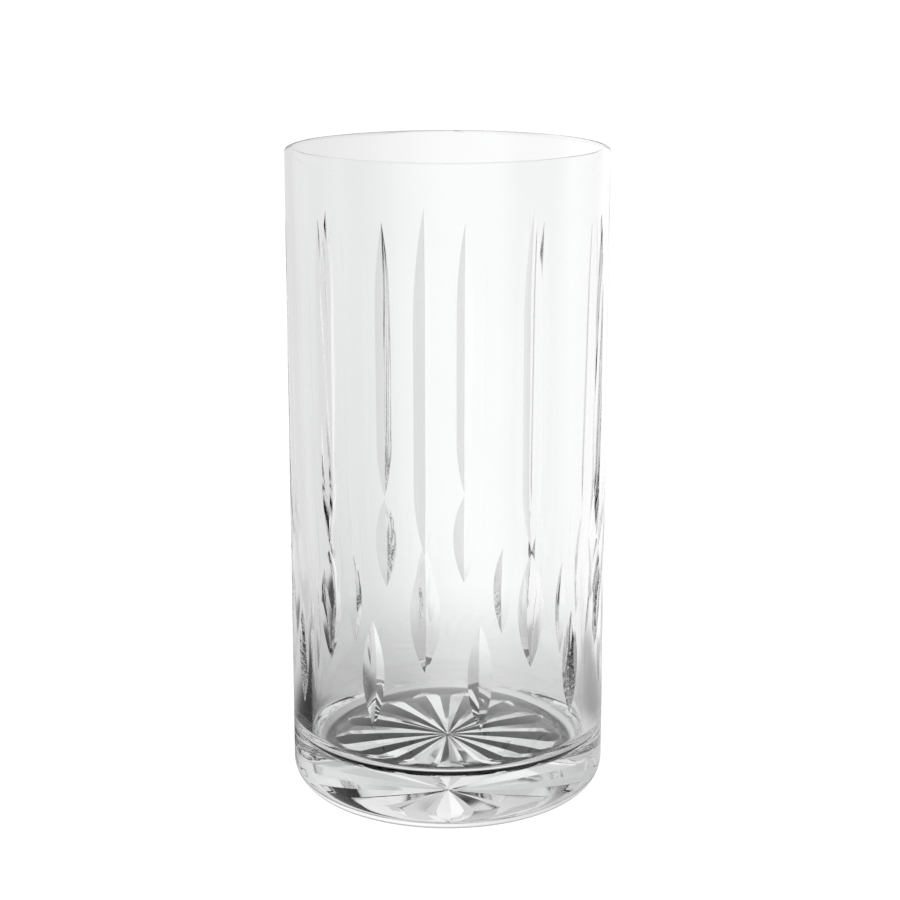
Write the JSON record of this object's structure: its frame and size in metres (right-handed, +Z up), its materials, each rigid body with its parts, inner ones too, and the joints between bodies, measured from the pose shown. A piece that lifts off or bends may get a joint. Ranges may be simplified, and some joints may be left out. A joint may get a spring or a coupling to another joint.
{
  "type": "highball glass",
  "caption": "Straight-sided cut-crystal highball tumbler with an open mouth, rounded lip, thick base, long mitre cuts over pointed olives round the wall, and a star-cut foot.",
  "frame": {"origin": "centre of the foot's underside, on the surface that the glass stands on", "axes": "+Z up along the glass's axis, out of the mouth; -Y is the front, and one column of the wall pattern faces it"},
  "size_m": [0.075, 0.075, 0.15],
  "materials": {
    "crystal": "clear colourless crystal, fire-polished wall and lip, polished wheel cuts"
  },
  "bodies": {
    "root": {"tumbler": "crystal"}
  },
  "joints": []
}
